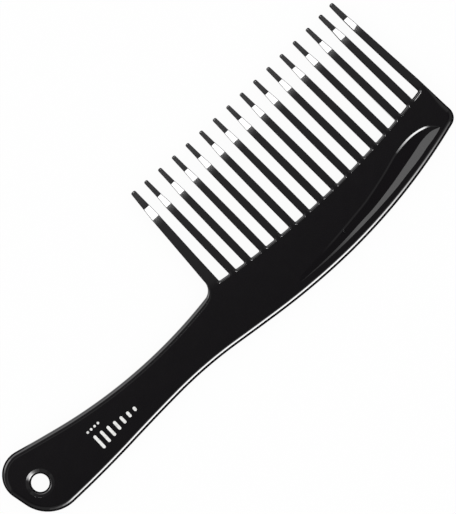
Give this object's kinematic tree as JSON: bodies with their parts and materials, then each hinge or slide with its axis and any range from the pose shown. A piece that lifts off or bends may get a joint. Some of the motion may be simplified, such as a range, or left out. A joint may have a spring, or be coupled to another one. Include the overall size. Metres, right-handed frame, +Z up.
{
  "type": "wide tooth comb",
  "caption": "One-piece black plastic hair comb with a waisted handle, a hang hole, a finger groove along its spine and long tapered teeth set wide apart.",
  "frame": {"origin": "under the middle of the comb's box, on the surface that it lies on", "axes": "+X along the comb from the handle to the far end, +Y the way the teeth point, +Z up out of the face"},
  "size_m": [0.2402, 0.0802, 0.006],
  "materials": {
    "black_plastic": "moulded gloss",
    "white_ink": "pad printed ink"
  },
  "bodies": {
    "root": {"handle": "black_plastic", "spine": "black_plastic", "tooth_01": "black_plastic", "tooth_02": "black_plastic", "tooth_03": "black_plastic", "tooth_04": "black_plastic", "tooth_05": "black_plastic", "tooth_06": "black_plastic", "tooth_07": "black_plastic", "tooth_08": "black_plastic", "tooth_09": "black_plastic", "tooth_10": "black_plastic", "tooth_11": "black_plastic", "tooth_12": "black_plastic", "tooth_13": "black_plastic", "tooth_14": "black_plastic", "tooth_15": "black_plastic", "tooth_16": "black_plastic", "printed_mark": "white_ink"}
  },
  "joints": []
}
